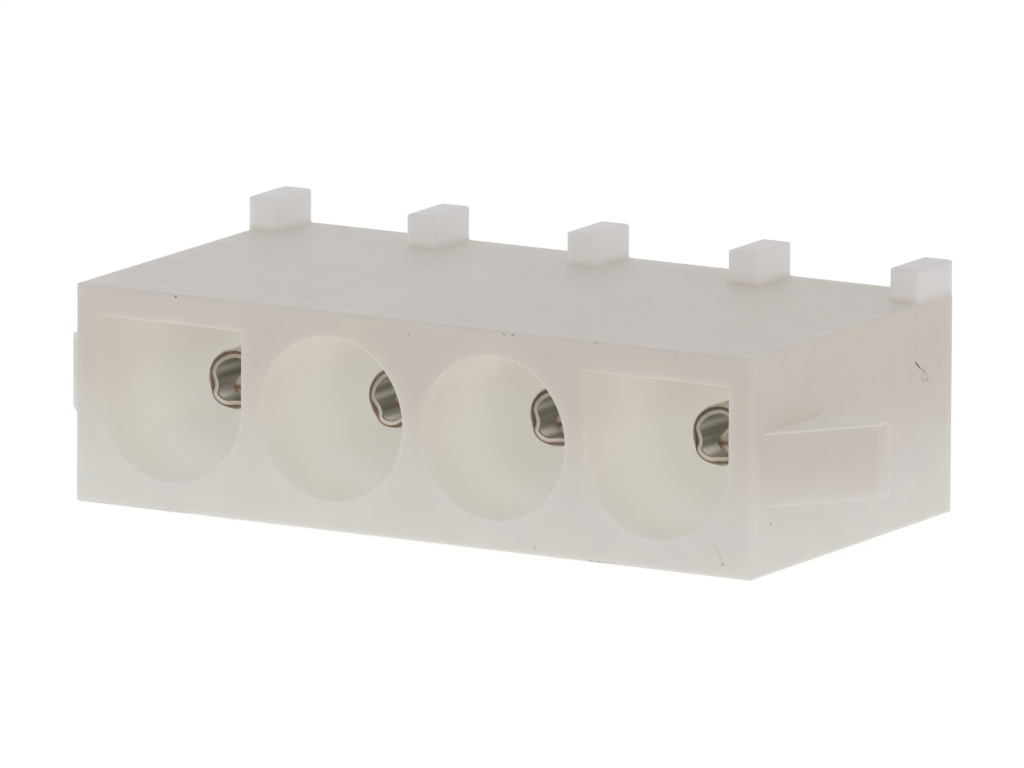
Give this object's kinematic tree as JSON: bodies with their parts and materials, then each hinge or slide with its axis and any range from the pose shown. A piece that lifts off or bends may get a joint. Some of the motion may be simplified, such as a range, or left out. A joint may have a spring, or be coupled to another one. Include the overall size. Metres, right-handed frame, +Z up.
{
  "type": "pin header connector housing",
  "caption": "Single-row pin header for wire to board use: a moulded block with a deep silo round each rolled pin, keyed end silos, a latch ramp on each end and guide ribs on top.",
  "frame": {"origin": "middle of the outline, on the flat bottom face", "axes": "+X along the row of contacts, to the right seen from the mating face; +Y from the mating face to the solder tails; +Z up, towards the ribs"},
  "size_m": [0.0316, 0.0178, 0.0088],
  "materials": {
    "nylon": "natural translucent nylon, satin moulded skin",
    "contact": "dull tin plate on rolled brass strip"
  },
  "bodies": {
    "root": {"housing": "nylon", "contact_1": "contact", "contact_2": "contact", "contact_3": "contact", "contact_4": "contact"}
  },
  "joints": []
}
